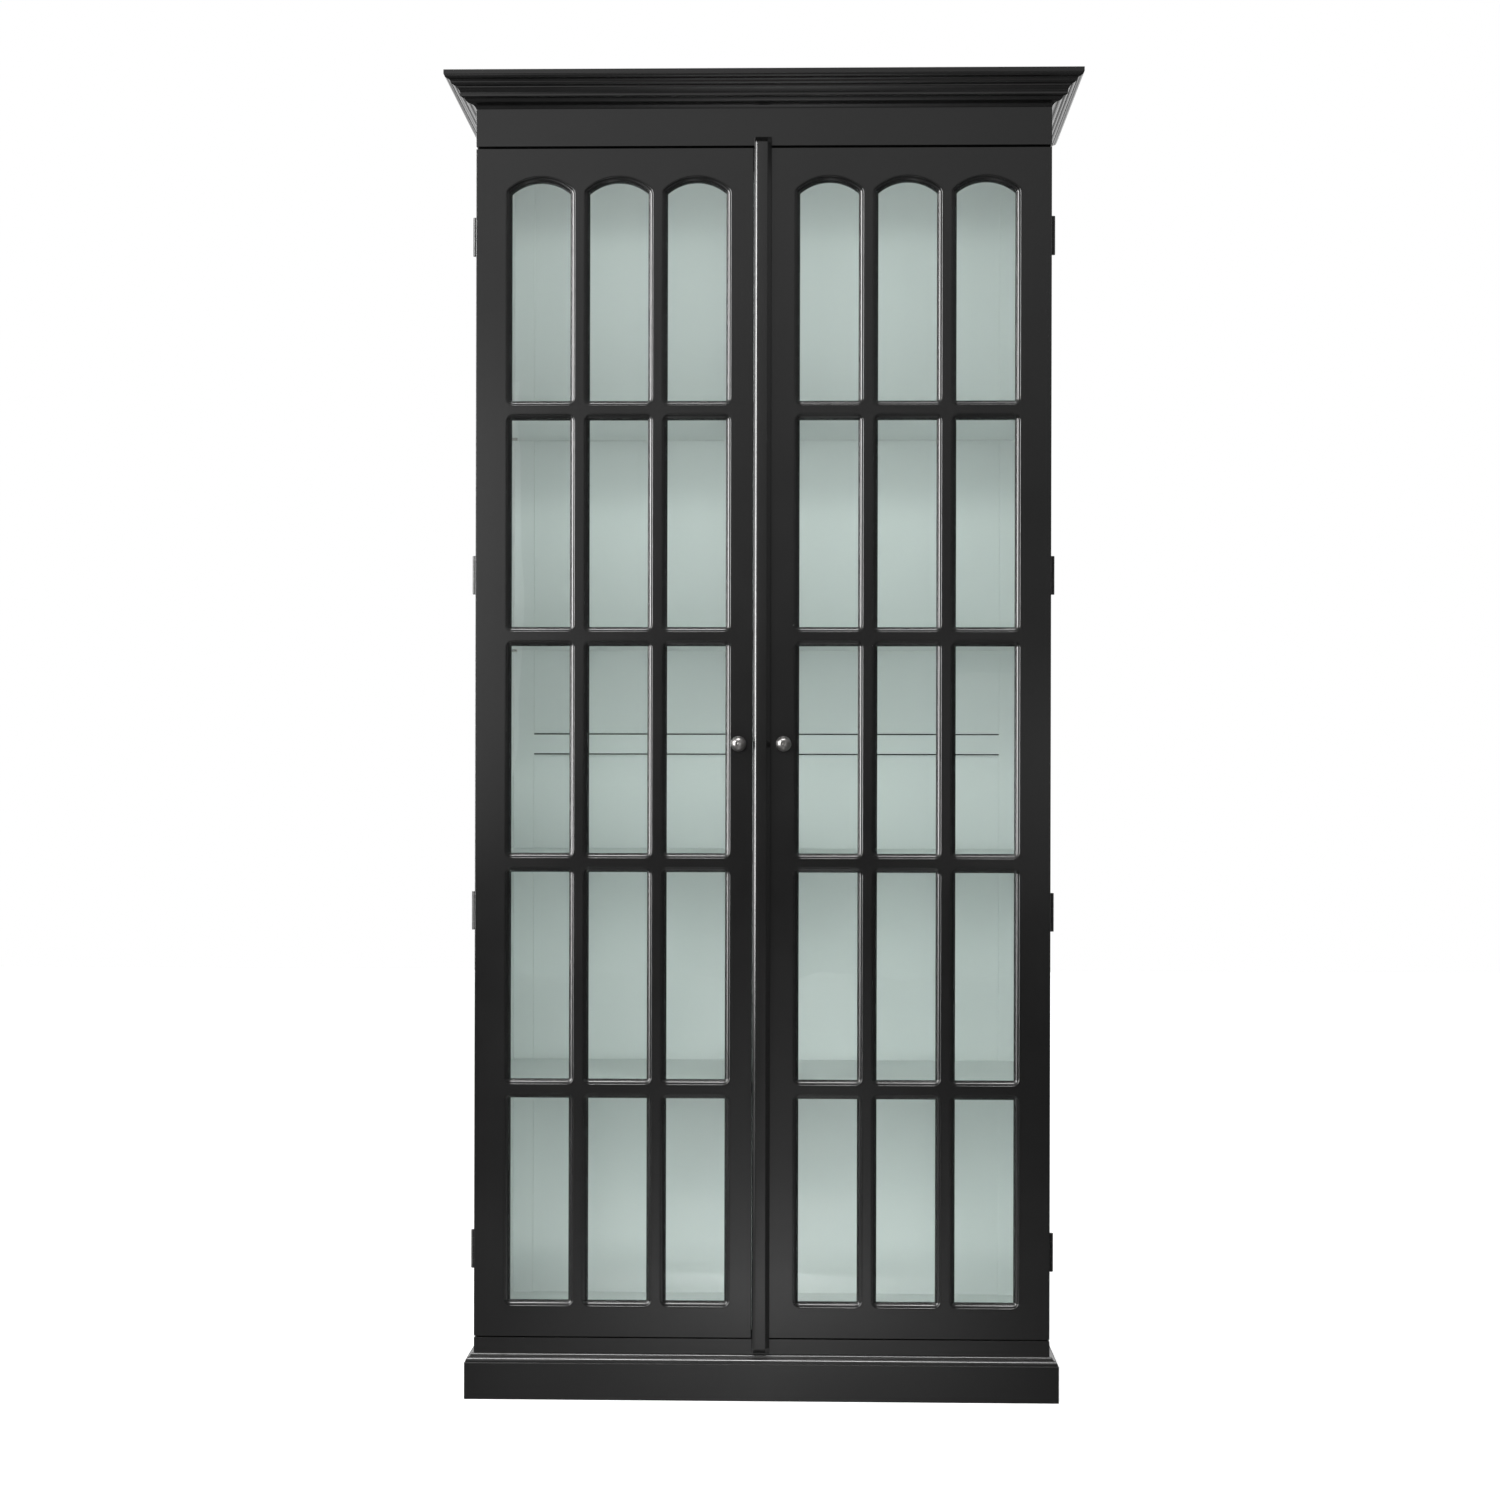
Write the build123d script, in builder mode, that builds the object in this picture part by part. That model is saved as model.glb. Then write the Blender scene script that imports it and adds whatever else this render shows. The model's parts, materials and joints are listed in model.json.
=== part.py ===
from build123d import *
import os
from math import sqrt

# A tall two-door display cabinet with a cornice, a plinth and fifteen glazed lights in each door.
# Millimetres. The origin is on the floor under the middle of the overall box, the doors face -Y
# and +Z is up. Each named piece of the cabinet is written as one STEP file.

os.makedirs("parts", exist_ok=True)

# Overall size
cabinet_height = 2150
cabinet_depth = 430
body_width = 936
cornice_projection = 47
plinth_projection = 14

# Boards
panel_thickness = 20
door_thickness = 22
shelf_thickness = 18
back_frame_thickness = 18
back_panel_thickness = 6
edge_radius = 1.0

# Clearances round the doors
hinge_gap = 1.6
rail_setback = 0.5

# Heights above the floor
plinth_height = 60
plinth_cap_top = 73
bottom_panel_base = 72
bottom_panel_top = 96
lower_rail_top = 97.6
door_bottom = 100.2
door_top = 2033.4
frieze_bottom = 2037.8
cornice_height = 51.6
top_panel_base = 2078
top_board_thickness = 18

# Lights of a door: sight sizes, with the columns counted outwards from the middle of the cabinet
light_width = 95.5
first_light = 60
column_pitch = 127.2
column_count = 3
crossbar_sight = 31
first_crossbar = 503
crossbar_pitch = 368.5
crossbar_count = 4
lowest_sight = 157.3
arch_spring = 1962
arch_rise = 18

# Moulding, glass and bead of a light, in from the door's front face
moulding_width = 9.5
contour_radius = 14
moulding_depth = 10
moulding_step = 4
glass_thickness = 4
glass_cover = 5
glass_corner = 3
bead_depth = 7
fit_gap = 0.1

# Meeting of the doors
left_meeting_edge = 15.7
right_meeting_edge = -15
astragal_left = -15
astragal_right = 13.5
astragal_thickness = 12.5
astragal_bottom = 76
astragal_top = 2050
astragal_edge = 7

# Back frame
back_stile_width = 35
back_rail_middle = (1051, 1091)
back_bottom_rail = (52, 96)

# Shelves and their pins
shelf_levels = [493, 868, 1237, 1610]
shelf_front = -130
shelf_side_gap = 0.5
shelf_pin_radius = 2.5
shelf_pin_sink = 9
shelf_pin_reach = 9
shelf_pin_rows = (-95, 160)

# Butt hinges
hinge_heights = [238, 792, 1341, 1895]
hinge_height = 60
knuckle_radius = 3.5
knuckle_count = 5
knuckle_gap = 0.3
axis_offset = 4
leaf_width = 18
leaf_thickness = 1.2
leaf_relief = 0.2
pin_radius = 1.8
pin_hole_radius = 1.85
pin_head_radius = 3.4
pin_head_height = 1.5
screw_rows = [(-21, -10), (0, -7), (21, -10)]
screw_head_radius = 2.9
screw_radius = 1.4
screw_length = 15

# Knobs, catches
knob_radius = 12.5
knob_height = 1065
left_knob = -38
right_knob = 35
knob_bolt_radius = 2
catch_offset = 36
catch_height = 2017
catch_radius = 6
catch_depth = 8
strike_radius = 7
strike_thickness = 1
stop_rail_base = 2000
stop_rail_thickness = 18
stop_lath_top = 108
stop_lath_depth = 12

# Planes worked out from the sizes above
back_face = cabinet_depth / 2
front_face = cornice_projection - cabinet_depth / 2
door_back = front_face + door_thickness
carcass_front = door_back + hinge_gap
rail_front = front_face + rail_setback
side_face = body_width / 2
inner_face = side_face - panel_thickness
back_frame_face = back_face - back_frame_thickness
cornice_bottom = cabinet_height - cornice_height
carcass_top = cabinet_height - top_board_thickness
hinge_axis_x = side_face + axis_offset
hinge_axis_y = (door_back + carcass_front) / 2
column_edges = [first_light + column * column_pitch for column in range(column_count)]
stile_line = column_edges[-1] + light_width + moulding_width
meeting_line = first_light - moulding_width
crossbars = [first_crossbar + bar * crossbar_pitch for bar in range(crossbar_count)]
bar_reach = crossbar_sight / 2 - moulding_width + contour_radius
bottom_rail_top = lowest_sight - moulding_width + contour_radius
top_rail_base = arch_spring - moulding_width - contour_radius + 6

half = crossbar_sight / 2
row_bottoms = [lowest_sight] + [bar + half for bar in crossbars]
row_tops = [bar - half for bar in crossbars] + [arch_spring]
lights = [
    (edge + light_width / 2, bottom, top, top == arch_spring)
    for bottom, top in zip(row_bottoms, row_tops)
    for edge in column_edges
]


def save(part, label):
    part.label = label
    export_step(part, f"parts/{label}.step")


def mirrored(part):
    return mirror(part, about=Plane.YZ)


def both_sides(part, name):
    save(part, "right_" + name)
    save(mirrored(part), "left_" + name)


def board(x_span, y_span, z_span):
    """A square-edged board between three pairs of limits."""
    with BuildPart() as piece:
        with BuildSketch(Plane.XY.offset(z_span[0])):
            with Locations((sum(x_span) / 2, sum(y_span) / 2)):
                Rectangle(x_span[1] - x_span[0], y_span[1] - y_span[0])
        extrude(amount=z_span[1] - z_span[0])
    return piece.part


def light_face(light, margin, corner_radius):
    """The outline of one light grown by a margin, drawn with x across and y up."""
    middle, bottom, top, arched = light
    reach = light_width / 2 + margin
    low = bottom - margin
    with BuildSketch() as outline:
        with BuildLine():
            if arched:
                radius = ((light_width / 2) ** 2 + arch_rise**2) / (2 * arch_rise)
                centre = top + arch_rise - radius
                spring = centre + sqrt((radius + margin) ** 2 - reach**2)
                crown = centre + radius + margin
                ThreePointArc((middle - reach, spring), (middle, crown), (middle + reach, spring))
            else:
                spring = top + margin
                Line((middle - reach, spring), (middle + reach, spring))
            Line((middle + reach, spring), (middle + reach, low))
            Line((middle + reach, low), (middle - reach, low))
            Line((middle - reach, low), (middle - reach, spring))
        make_face()
        if corner_radius:
            fillet(outline.vertices(), corner_radius)
    return outline.sketch


def door_member(regions):
    """Boards of the door frame: rectangles of the door's face with the routed lights taken out."""
    with BuildPart() as member:
        with BuildSketch(Plane.XZ.offset(-door_back)):
            for x_span, z_span in regions:
                with Locations((sum(x_span) / 2, sum(z_span) / 2)):
                    Rectangle(x_span[1] - x_span[0], z_span[1] - z_span[0])
            for light in lights:
                add(light_face(light, moulding_width, contour_radius), mode=Mode.SUBTRACT)
        extrude(amount=door_thickness)
    return member.part


def moulding_rings():
    """One planted moulding round each light: a wide front step and a back step to the sight line."""
    with BuildPart() as rings:
        for light in lights:
            with BuildSketch(Plane.XZ.offset(-front_face - moulding_depth)):
                add(light_face(light, moulding_width - fit_gap, contour_radius - fit_gap))
                add(light_face(light, 0, 0), mode=Mode.SUBTRACT)
        extrude(amount=moulding_depth - moulding_step)
        for light in lights:
            with BuildSketch(Plane.XZ.offset(-front_face - moulding_step)):
                add(light_face(light, moulding_width - fit_gap, contour_radius - fit_gap))
                add(light_face(light, moulding_step, 0), mode=Mode.SUBTRACT)
        extrude(amount=moulding_step)
    return rings.part


def bead_rings():
    """The beads that hold the glass in from behind, one round each light."""
    with BuildPart() as rings:
        for light in lights:
            with BuildSketch(Plane.XZ.offset(-front_face - moulding_depth - glass_thickness)):
                add(light_face(light, moulding_width - fit_gap, contour_radius - fit_gap))
                add(light_face(light, 0, 0), mode=Mode.SUBTRACT)
        extrude(amount=-bead_depth)
    return rings.part


def glass_panes():
    with BuildPart() as panes:
        for light in lights:
            with BuildSketch(Plane.XZ.offset(-front_face - moulding_depth)):
                add(light_face(light, glass_cover, glass_corner))
        extrude(amount=-glass_thickness)
    return panes.part


def hinge_screw_places():
    """Where each hinge screw stands, as distances from the hinge axis and heights."""
    return [(across, height + up) for height in hinge_heights for up, across in screw_rows]


def screws(face, direction, relief=0.0):
    """Countersunk screws whose heads lie flush in a face and whose shanks run in one direction."""
    with BuildPart() as group:
        for across, height in hinge_screw_places():
            start = Plane((hinge_axis_x + across - 3, face, height), x_dir=(1, 0, 0), z_dir=(0, direction, 0))
            with BuildSketch(start):
                Circle(screw_head_radius + relief)
            with BuildSketch(start.offset(leaf_thickness)):
                Circle(screw_radius + relief)
            loft()
            with BuildSketch(start.offset(leaf_thickness)):
                Circle(screw_radius + relief)
            extrude(amount=screw_length - leaf_thickness)
    return group.part


def hinge_leaves(leaf_face, direction, first_knuckle):
    """Leaves let in flush with a face, with every second knuckle starting at the given one."""
    knuckle_pitch = hinge_height / knuckle_count
    leaf_edge = side_face + leaf_relief
    leaf_far = leaf_edge - leaf_width
    leaf_back = leaf_face + direction * leaf_thickness
    leaf_middle = (leaf_face + leaf_back) / 2
    holes = screws(leaf_face, direction, fit_gap)
    with BuildPart() as leaves:
        for height in hinge_heights:
            with BuildSketch(Plane.XY.offset(height - hinge_height / 2)):
                with Locations(((leaf_far + leaf_edge) / 2, leaf_middle)):
                    Rectangle(leaf_width, leaf_thickness)
            extrude(amount=hinge_height)
            for knuckle in range(first_knuckle, knuckle_count, 2):
                base = height - hinge_height / 2 + knuckle * knuckle_pitch + knuckle_gap / 2
                with BuildSketch(Plane.XY.offset(base)):
                    with Locations((hinge_axis_x, hinge_axis_y)):
                        Circle(knuckle_radius)
                    with Locations(((leaf_edge + hinge_axis_x) / 2 - 1, leaf_middle)):
                        Rectangle(hinge_axis_x - leaf_edge + 2, leaf_thickness)
                    with Locations((hinge_axis_x, hinge_axis_y)):
                        Circle(pin_hole_radius, mode=Mode.SUBTRACT)
                extrude(amount=knuckle_pitch - knuckle_gap)
        add(holes, mode=Mode.SUBTRACT)
    return leaves.part


def hinge_pins():
    with BuildPart() as pins:
        for height in hinge_heights:
            low = height - hinge_height / 2 + knuckle_gap / 2
            high = height + hinge_height / 2 - knuckle_gap / 2
            for base, top, radius in (
                (low - pin_head_height, low, pin_head_radius),
                (low, high, pin_radius),
                (high, high + pin_head_height, pin_head_radius),
            ):
                with BuildSketch(Plane.XY.offset(base)):
                    with Locations((hinge_axis_x, hinge_axis_y)):
                        Circle(radius)
                extrude(amount=top - base)
    return pins.part


def mortises(face, direction):
    """The shallow housings that the hinge leaves are let into."""
    with BuildPart() as recesses:
        for height in hinge_heights:
            with BuildSketch(Plane.XY.offset(height - hinge_height / 2 - fit_gap)):
                width = leaf_width - leaf_relief + fit_gap
                with Locations((side_face - width / 2, face + direction * leaf_thickness / 2)):
                    Rectangle(width, leaf_thickness)
            extrude(amount=hinge_height + 2 * fit_gap)
    return recesses.part


def side_panel():
    """The right side, with pin holes for the shelves and housings for the hinges."""
    recesses = mortises(carcass_front, 1)
    with BuildPart() as panel:
        with BuildSketch(Plane.XY):
            with Locations((side_face - panel_thickness / 2, (carcass_front + back_face) / 2)):
                Rectangle(panel_thickness, back_face - carcass_front)
        extrude(amount=carcass_top)
        with BuildSketch(Plane.YZ.offset(inner_face)):
            for level in shelf_levels:
                with Locations(*[(row, level - shelf_pin_radius) for row in shelf_pin_rows]):
                    Circle(shelf_pin_radius + fit_gap)
        extrude(amount=shelf_pin_sink + fit_gap, mode=Mode.SUBTRACT)
        add(recesses, mode=Mode.SUBTRACT)
    return panel.part


def shelf_pins():
    with BuildPart() as pins:
        with BuildSketch(Plane.YZ.offset(inner_face - shelf_pin_reach)):
            for level in shelf_levels:
                with Locations(*[(row, level - shelf_pin_radius) for row in shelf_pin_rows]):
                    Circle(shelf_pin_radius)
        extrude(amount=shelf_pin_reach + shelf_pin_sink)
        mirror(about=Plane.YZ)
    return pins.part


def cornice_face():
    """The cornice's section: projection across, height up, from the frieze to the top fascia."""
    with BuildSketch() as section:
        with BuildLine():
            ThreePointArc((0, 0), (3.2, 4.8), (8.5, 7))
            ThreePointArc((8.5, 7), (13.6, 8.6), (16.5, 13))
            Polyline((16.5, 13), (20, 13.4), (23, 15.3))
            ThreePointArc((23, 15.3), (23.6, 22), (27.5, 27.5))
            Polyline((27.5, 27.5), (29, 27.5), (29, 29.5))
            ThreePointArc((29, 29.5), (33, 30.6), (35.5, 33.3))
            Line((35.5, 33.3), (37, 33.3))
            ThreePointArc((37, 33.3), (38.3, 37), (41.5, 38.6))
            ThreePointArc((41.5, 38.6), (44.9, 40.4), (46, 44))
            Polyline((46, 44), (47, 44), (47, cornice_height), (-rail_setback, cornice_height))
            Line((-rail_setback, cornice_height), (-rail_setback, 0))
            Line((-rail_setback, 0), (0, 0))
        make_face()
    return section.sketch


def plinth_cap_face():
    """The plinth's cap moulding: a fillet, an ovolo and a quirk above the plinth board."""
    rise = plinth_cap_top - plinth_height
    with BuildSketch() as section:
        with BuildLine():
            Polyline((-rail_setback, 0), (12, 0), (12, 1.8))
            ThreePointArc((12, 1.8), (10.2, 6), (6, 7.8))
            Polyline((6, 7.8), (6, 9), (4.5, 11.5))
            ThreePointArc((4.5, 11.5), (3.3, 12.6), (1, rise))
            Polyline((1, rise), (-rail_setback, rise), (-rail_setback, 0))
        make_face()
    return section.sketch


def plinth_board_face():
    with BuildSketch() as section:
        with Locations(((plinth_projection - rail_setback) / 2, plinth_height / 2)):
            Rectangle(plinth_projection + rail_setback, plinth_height)
        chamfer(section.vertices().group_by(Axis.X)[-1].group_by(Axis.Y)[-1], length=1)
    return section.sketch


mitre = Plane((side_face, front_face, 0), x_dir=(1, -1, 0), z_dir=(1, 1, 0))


def mitred_front(section, base):
    """A section run along the front and cut at 45 degrees at both corners."""
    with BuildPart() as run:
        with BuildSketch(Plane((0, front_face, base), x_dir=(0, -1, 0), z_dir=(-1, 0, 0))):
            add(section)
        extrude(amount=side_face + cornice_projection, both=True)
        split(bisect_by=mitre, keep=Keep.BOTTOM)
        split(bisect_by=Plane((-side_face, front_face, 0), x_dir=(1, 1, 0), z_dir=(-1, 1, 0)), keep=Keep.BOTTOM)
    return run.part


def mitred_return(section, base):
    """The same section run back along the right side from its mitre."""
    with BuildPart() as run:
        with BuildSketch(Plane((side_face, 0, base), x_dir=(1, 0, 0), z_dir=(0, -1, 0))):
            add(section)
        extrude(amount=cabinet_depth / 2, both=True)
        split(bisect_by=mitre, keep=Keep.TOP)
        split(bisect_by=Plane.YZ.offset(side_face), keep=Keep.TOP)
    return run.part


def knob(across):
    """A turned mushroom knob with a dimple in its face, and the bolt that holds it."""
    base = front_face
    hole = knob_bolt_radius + 0.05
    with BuildPart() as turned:
        with BuildSketch(Plane.XY):
            with BuildLine():
                Polyline((hole, base), (8, base), (8, base - 1.5), (5, base - 2.5), (4.5, base - 9))
                ThreePointArc((4.5, base - 9), (7.4, base - 14.3), (12, base - 17))
                ThreePointArc((12, base - 17), (knob_radius, base - 19.4), (11.2, base - 22))
                ThreePointArc((11.2, base - 22), (7.6, base - 26), (2.4, base - 28))
                Line((2.4, base - 28), (0, base - 27.2))
                Polyline((0, base - 27.2), (0, base - 11), (hole, base - 11), (hole, base))
            make_face()
        revolve(axis=Axis.Y)
    with BuildPart() as bolt:
        with BuildSketch(Plane.XZ.offset(-door_back - 2.2)):
            Circle(4)
        extrude(amount=2.2)
        with BuildSketch(Plane.XZ.offset(-door_back)):
            Circle(knob_bolt_radius)
        extrude(amount=door_thickness + 9)
    return Pos(across, 0, knob_height) * Part(children=[turned.part, bolt.part])


def disc(across, y_span, radius):
    with BuildPart() as piece:
        with BuildSketch(Plane.XZ.offset(-y_span[1])):
            with Locations((across, catch_height)):
                Circle(radius)
        extrude(amount=y_span[1] - y_span[0])
    return piece.part


def meeting_stile(x_span, knob_place):
    """The stile at the middle of the cabinet, drilled for its knob bolt."""
    with BuildPart() as stile:
        with BuildSketch(Plane.XY.offset(door_bottom)):
            with Locations((sum(x_span) / 2, (front_face + door_back) / 2)):
                Rectangle(x_span[1] - x_span[0], door_thickness)
        extrude(amount=door_top - door_bottom)
        fillet(stile.edges().filter_by(Axis.Z).group_by(Axis.X)[0], edge_radius)
        with BuildSketch(Plane.XZ.offset(-door_back)):
            with Locations((knob_place, knob_height)):
                Circle(knob_bolt_radius + fit_gap)
        extrude(amount=door_thickness, mode=Mode.SUBTRACT)
    return stile.part


def hinge_stile():
    """The stile that carries the hinges."""
    recesses = mortises(door_back, -1)
    with BuildPart() as stile:
        with BuildSketch(Plane.XY.offset(door_bottom)):
            with Locations(((stile_line + side_face) / 2, (front_face + door_back) / 2)):
                Rectangle(side_face - stile_line, door_thickness)
        extrude(amount=door_top - door_bottom)
        fillet(stile.edges().filter_by(Axis.Z).group_by(Axis.X)[-1].group_by(Axis.Y)[0], edge_radius)
        add(recesses, mode=Mode.SUBTRACT)
    return stile.part


def astragal():
    """The cover strip of the right door, rounded on its left and bevelled on its right and ends."""
    face = front_face - astragal_thickness
    with BuildPart() as strip:
        with BuildSketch(Plane.XY.offset(astragal_bottom)):
            with BuildLine():
                Polyline((astragal_left, front_face), (astragal_right, front_face), (astragal_right, face + 6))
                Line((astragal_right, face + 6), (astragal_right - astragal_edge, face))
                Line((astragal_right - astragal_edge, face), (astragal_left + astragal_edge, face))
                ThreePointArc(
                    (astragal_left + astragal_edge, face),
                    (astragal_left + 0.29 * astragal_edge, face + 0.29 * astragal_edge + 0.4),
                    (astragal_left, face + astragal_edge),
                )
                Line((astragal_left, face + astragal_edge), (astragal_left, front_face))
            make_face()
        extrude(amount=astragal_top - astragal_bottom)
        chamfer(strip.faces().sort_by(Axis.Z)[0].edges().sort_by(Axis.Y)[0], length=4)
        chamfer(strip.faces().sort_by(Axis.Z)[-1].edges().sort_by(Axis.Y)[0], length=4)
    return strip.part


# Carcass
both_sides(side_panel(), "side_panel")
inside = (-inner_face, inner_face)
carcass_run = (carcass_front, back_frame_face)
save(board(inside, carcass_run, (bottom_panel_base, bottom_panel_top)), "bottom_panel")
save(board(inside, carcass_run, (top_panel_base, top_panel_base + panel_thickness)), "top_panel")
stop_run = (carcass_front, carcass_front + stop_rail_thickness)
with BuildPart() as stop_rail:
    add(board(inside, stop_run, (stop_rail_base, top_panel_base)))
    for side in (-1, 1):
        add(disc(side * catch_offset, (carcass_front, carcass_front + catch_depth), catch_radius + fit_gap / 2),
            mode=Mode.SUBTRACT)
save(stop_rail.part, "top_stop_rail")
lath_run = (carcass_front, carcass_front + stop_lath_depth)
save(board(inside, lath_run, (bottom_panel_top, stop_lath_top)), "bottom_stop_lath")

# Back frame and its two panels
back_run = (back_frame_face, back_face)
stile_edge = inner_face - back_stile_width
between = (-stile_edge, stile_edge)
panel_run = (back_frame_face + back_panel_thickness, back_frame_face + 2 * back_panel_thickness)
both_sides(board((stile_edge, inner_face), back_run, (0, carcass_top)), "back_stile")
save(board(between, back_run, (top_panel_base, carcass_top)), "back_top_rail")
save(board(between, back_run, back_rail_middle), "back_middle_rail")
save(board(between, back_run, back_bottom_rail), "back_bottom_rail")
save(board(between, panel_run, (back_rail_middle[1], top_panel_base)), "upper_back_panel")
save(board(between, panel_run, (back_bottom_rail[1], back_rail_middle[0])), "lower_back_panel")
save(board(between, back_run, (0, back_bottom_rail[0])), "plinth_back")

# Shelves
shelf_span = (shelf_side_gap - inner_face, inner_face - shelf_side_gap)
for number, level in enumerate(shelf_levels, start=1):
    shelf = board(shelf_span, (shelf_front, back_frame_face - shelf_side_gap), (level, level + shelf_thickness))
    save(shelf, f"shelf_{number}")
save(shelf_pins(), "shelf_pins")

# Front rails, cornice and plinth
rail_span = (-side_face, side_face)
save(board(rail_span, (rail_front, carcass_front), (frieze_bottom, carcass_top)), "frieze_rail")
save(board(rail_span, (rail_front, carcass_front), (0, lower_rail_top)), "lower_front_rail")
save(mitred_front(cornice_face(), cornice_bottom), "cornice_front")
both_sides(mitred_return(cornice_face(), cornice_bottom), "cornice_return")
save(board(rail_span, (rail_front, back_face), (carcass_top, cabinet_height)), "cornice_top_board")
save(mitred_front(plinth_board_face(), 0), "plinth_front")
both_sides(mitred_return(plinth_board_face(), 0), "plinth_side")
save(mitred_front(plinth_cap_face(), plinth_height), "plinth_cap_front")
cap_return = mitred_return(plinth_cap_face(), plinth_height)
save(Part(children=[cap_return, mirrored(cap_return)]), "plinth_cap_returns")

# Hinges and catches of the cabinet
frame_leaves = hinge_leaves(carcass_front, 1, 0)
frame_screws = screws(carcass_front, 1)
pins = hinge_pins()
save(Part(children=[frame_leaves, mirrored(frame_leaves)]), "hinge_frame_leaves")
save(Part(children=[frame_screws, mirrored(frame_screws)]), "hinge_frame_screws")
save(Part(children=[pins, mirrored(pins)]), "hinge_pins")
magnet = disc(catch_offset, (carcass_front, carcass_front + catch_depth), catch_radius)
save(Part(children=[magnet, mirrored(magnet)]), "magnetic_catches")

# Doors
rail_x = (meeting_line, stile_line)
row_limits = [bottom_rail_top] + [bar + sign * bar_reach for bar in crossbars for sign in (-1, 1)] + [top_rail_base]
mullion_rows = list(zip(row_limits[0::2], row_limits[1::2]))
mullion_x = [(edge + light_width + moulding_width, edge + column_pitch - moulding_width) for edge in column_edges[:-1]]
both_sides(hinge_stile(), "hinge_stile")
save(meeting_stile((right_meeting_edge, meeting_line), right_knob), "right_meeting_stile")
save(mirrored(meeting_stile((left_meeting_edge, meeting_line), -left_knob)), "left_meeting_stile")
both_sides(door_member([(rail_x, (top_rail_base, door_top))]), "top_rail")
both_sides(door_member([(rail_x, (door_bottom, bottom_rail_top))]), "bottom_rail")
both_sides(door_member([(rail_x, (bar - bar_reach, bar + bar_reach)) for bar in crossbars]), "crossbars")
both_sides(door_member([(x_span, z_span) for x_span in mullion_x for z_span in mullion_rows]), "mullions")
both_sides(moulding_rings(), "mouldings")
both_sides(glass_panes(), "panes")
both_sides(bead_rings(), "glazing_beads")
both_sides(hinge_leaves(door_back, -1, 1), "hinge_leaves")
both_sides(screws(door_back, -1), "hinge_screws")
both_sides(disc(catch_offset, (door_back, door_back + strike_thickness), strike_radius), "strike_plate")
save(knob(right_knob), "right_knob")
save(knob(left_knob), "left_knob")
save(astragal(), "astragal")
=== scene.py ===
import json
from math import radians

import bpy
import numpy as np
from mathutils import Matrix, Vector


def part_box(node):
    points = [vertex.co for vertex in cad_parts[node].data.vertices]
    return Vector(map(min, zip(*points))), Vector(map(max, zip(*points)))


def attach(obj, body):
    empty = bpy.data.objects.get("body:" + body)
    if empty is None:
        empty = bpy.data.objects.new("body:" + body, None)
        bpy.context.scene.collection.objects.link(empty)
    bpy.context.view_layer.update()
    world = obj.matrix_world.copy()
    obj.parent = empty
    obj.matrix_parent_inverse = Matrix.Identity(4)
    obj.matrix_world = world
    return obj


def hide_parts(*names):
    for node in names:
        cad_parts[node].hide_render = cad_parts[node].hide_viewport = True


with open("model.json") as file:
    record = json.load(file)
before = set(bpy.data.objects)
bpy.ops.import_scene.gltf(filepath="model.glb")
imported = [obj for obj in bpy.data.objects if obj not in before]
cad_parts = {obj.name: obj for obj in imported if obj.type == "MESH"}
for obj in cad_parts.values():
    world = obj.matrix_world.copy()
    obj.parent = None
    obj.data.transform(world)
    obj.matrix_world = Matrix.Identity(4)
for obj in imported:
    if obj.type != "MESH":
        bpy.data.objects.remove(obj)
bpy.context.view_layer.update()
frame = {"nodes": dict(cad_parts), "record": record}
nodes = frame["nodes"]
slotOfNode = {part["node"]: part["material_slot"] for part in frame["record"]["subparts"]}
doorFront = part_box("right_top_rail")[0].y
print("frame loaded:", len(nodes), "nodes")

# the camera stands about a metre up, a few centimetres right of the cabinet's middle, turned slightly left
view = dict(
    place=(0.0731, -4.1087, 0.9955),
    turnLeft=1.347,
    roll=-0.126,
    lens=58.21,
    sensor=36,
    shiftY=0.0245,
)
cameraData = bpy.data.cameras.new("camera")
cameraData.lens = view["lens"]
cameraData.sensor_width = view["sensor"]
cameraData.shift_y = view["shiftY"]
camera = bpy.data.objects.new("camera", cameraData)
camera.location = view["place"]
camera.rotation_euler = (radians(90), radians(view["roll"]), radians(view["turnLeft"]))
bpy.context.collection.objects.link(camera)
bpy.context.scene.camera = camera


def addNode(tree, kind, links=None, **settings):
    # a shader node with its settings, its inputs fed from other sockets or given plain values
    node = tree.nodes.new(kind)
    for key, value in settings.items():
        setattr(node, key, value)
    for socket, source in (links or {}).items():
        if isinstance(source, bpy.types.NodeSocket):
            tree.links.new(source, node.inputs[socket])
        else:
            node.inputs[socket].default_value = source
    return node


def useGroup(tree, group, links):
    # a shared effect, placed with the material's own values
    return addNode(tree, "ShaderNodeGroup", links, node_tree=group)


def addNoise(tree, place, size, detail, roughness=0.5, distortion=0.0):
    # a noise between 0 and 1, its grain finer as the size number grows
    links = {"Vector": place, "Scale": size, "Detail": detail}
    links.update({"Roughness": roughness, "Distortion": distortion})
    return addNode(tree, "ShaderNodeTexNoise", links).outputs[0]


def addMath(tree, operation, *values):
    # one operation on one or two values
    return addNode(tree, "ShaderNodeMath", dict(enumerate(values)), operation=operation).outputs[0]


def stretchPlace(tree, place, stretch):
    # the place multiplied axis by axis: a pattern is drawn out along any axis whose factor is below one
    return addNode(tree, "ShaderNodeVectorMath", {0: place, 1: stretch}, operation="MULTIPLY").outputs[0]


def mixValue(tree, factor, first, second):
    # first * (1 - factor) + second * factor
    links = {"Factor": factor, "A": first, "B": second}
    return addNode(tree, "ShaderNodeMix", links, data_type="FLOAT").outputs[0]


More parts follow.
